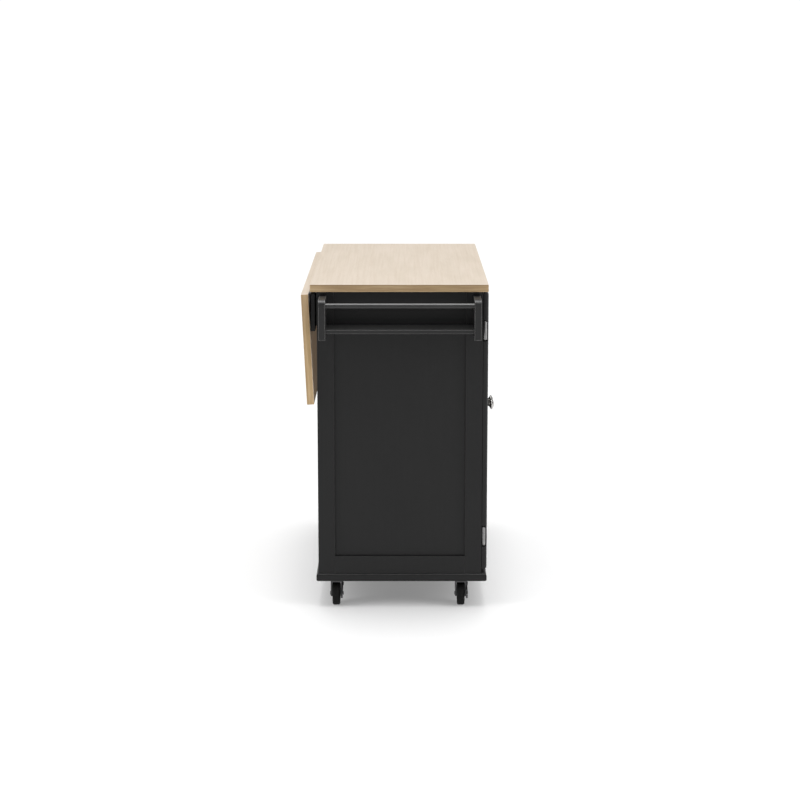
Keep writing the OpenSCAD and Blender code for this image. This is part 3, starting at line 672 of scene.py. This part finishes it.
# A soft box on each side of the cart, and one above the rack that only adds gloss
SIDE_BOX = {"target": (-0.3, 0, 0.6), "size": (1.2, 2.2), "power": 40}
SIDE_BOX_X, SIDE_BOX_Y, SIDE_BOX_Z = -1.6, 3.0, 1.7
GLOSS_BOX = {"place": (-0.7, 0, 3.2), "target": (-0.7, 0.01, 0), "size": (1.6, 2.5), "power": 62}

# A weak warm light in the gap between the cabinet and the hanging leaf
LEAF_FILL_LENGTH = 0.96
LEAF_FILL_POWER = 0.13
LEAF_FILL_COLOUR = (1.0, 0.84, 0.68)

# The camera, measured from the middle of the worktop; its height is above the floor
CAMERA_BACK = 5.868
CAMERA_ASIDE = 0.002
CAMERA_HEIGHT = 1.6154
CAMERA_PITCH = 10.77
CAMERA_LENS = 89.55


def make_floor():
    """A wide pale floor of nearly one tone."""
    bpy.ops.mesh.primitive_plane_add(size=FLOOR_SIZE)
    floor = bpy.context.object
    floor.name = "floor"
    n = Nodes("floor_paper")
    drift = n.noise(n.coordinates(), scale=0.8, detail=2.0)
    n.shader.inputs["Emission Color"].default_value = (1, 1, 1, 1)
    n.shader.inputs["Emission Strength"].default_value = FLOOR_GLOW
    floor.data.materials.append(n.finish(n.ramp(drift, *FLOOR_TONES), 0.95, specular=0.1))


def make_world():
    """A white backdrop; the light it sheds is dimmer at the horizon than overhead."""
    world = bpy.data.worlds.new("studio")
    bpy.context.scene.world = world
    world.use_nodes = True
    tree = world.node_tree
    tree.nodes.clear()
    make = tree.nodes.new
    output, pick = make("ShaderNodeOutputWorld"), make("ShaderNodeMixShader")
    path = make("ShaderNodeLightPath")
    backdrop, glow = make("ShaderNodeBackground"), make("ShaderNodeBackground")
    split, height = make("ShaderNodeSeparateXYZ"), make("ShaderNodeMapRange")
    tree.links.new(make("ShaderNodeTexCoord").outputs["Generated"], split.inputs["Vector"])
    tree.links.new(split.outputs["Z"], height.inputs["Value"])
    height.inputs["From Min"].default_value = 0.0
    height.inputs["From Max"].default_value = ZENITH_FROM
    height.inputs["To Min"].default_value = HORIZON_GLOW
    height.inputs["To Max"].default_value = ZENITH_GLOW
    tree.links.new(height.outputs["Result"], glow.inputs["Strength"])
    backdrop.inputs["Color"].default_value = (1, 1, 1, 1)
    backdrop.inputs["Strength"].default_value = BACKDROP_GLOW
    tree.links.new(path.outputs["Is Camera Ray"], pick.inputs["Fac"])
    tree.links.new(glow.outputs["Background"], pick.inputs[1])
    tree.links.new(backdrop.outputs["Background"], pick.inputs[2])
    tree.links.new(pick.outputs["Shader"], output.inputs["Surface"])


def sky_light(strength, spread, tilt):
    """A sun overhead, with its spread and tilt in degrees; a positive tilt throws shadows towards -X."""
    data = bpy.data.lights.new("sky", "SUN")
    data.energy = strength
    data.angle = math.radians(spread)
    light = bpy.data.objects.new("sky", data)
    bpy.context.scene.collection.objects.link(light)
    light.location = (0, 0, 4)
    light.rotation_euler = (0, math.radians(tilt), 0)


def area_light(name, place, target, size, power):
    """A soft box at a place, turned towards a target."""
    data = bpy.data.lights.new(name, "AREA")
    data.shape = "RECTANGLE"
    data.size, data.size_y = size
    data.energy = power
    light = bpy.data.objects.new(name, data)
    bpy.context.scene.collection.objects.link(light)
    light.location = place
    light.rotation_mode = "QUATERNION"
    light.rotation_quaternion = (Vector(target) - Vector(place)).to_track_quat("-Z", "Y")
    return light


def make_camera(place, pitch, lens):
    """A camera at the rack's end that looks along +X and a little down."""
    data = bpy.data.cameras.new("camera")
    data.lens = lens
    data.sensor_width = 36
    data.clip_end = 100
    camera = bpy.data.objects.new("camera", data)
    bpy.context.scene.collection.objects.link(camera)
    camera.location = place
    camera.rotation_euler = (math.radians(90 - pitch), 0, math.radians(-90))
    bpy.context.scene.camera = camera


def light_leaf_gap(middle_x):
    """Lights the leaf's inner face from the support's side of the gap."""
    support_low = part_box("leaf_support_left")[0]
    leaf_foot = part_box("drop_leaf")[0].z
    place = Vector((middle_x, support_low.y, (leaf_foot + support_low.z) / 2))
    size = (LEAF_FILL_LENGTH, support_low.z - leaf_foot)
    light = area_light("leaf_fill", place, place + Vector((0, 1, 0)), size, LEAF_FILL_POWER)
    light.data.color = LEAF_FILL_COLOUR
    light.visible_camera = False
    light.visible_glossy = False


bpy.context.scene.view_settings.view_transform = "Standard"
make_floor()
make_world()
sky_light(**WIDE_SUN)
for tilt in NARROW_SUN_TILTS:
    sky_light(tilt=tilt, **NARROW_SUN)
for name, side in (("left_box", SIDE_BOX_Y), ("right_box", -SIDE_BOX_Y)):
    area_light(name, (SIDE_BOX_X, side, SIDE_BOX_Z), **SIDE_BOX)
area_light("gloss_box", **GLOSS_BOX).visible_diffuse = False
top_low, top_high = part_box("worktop")
top_middle = (top_low + top_high) / 2
light_leaf_gap(top_middle.x)
camera_place = (top_middle.x - CAMERA_BACK, top_middle.y - CAMERA_ASIDE, CAMERA_HEIGHT)
make_camera(camera_place, CAMERA_PITCH, CAMERA_LENS)
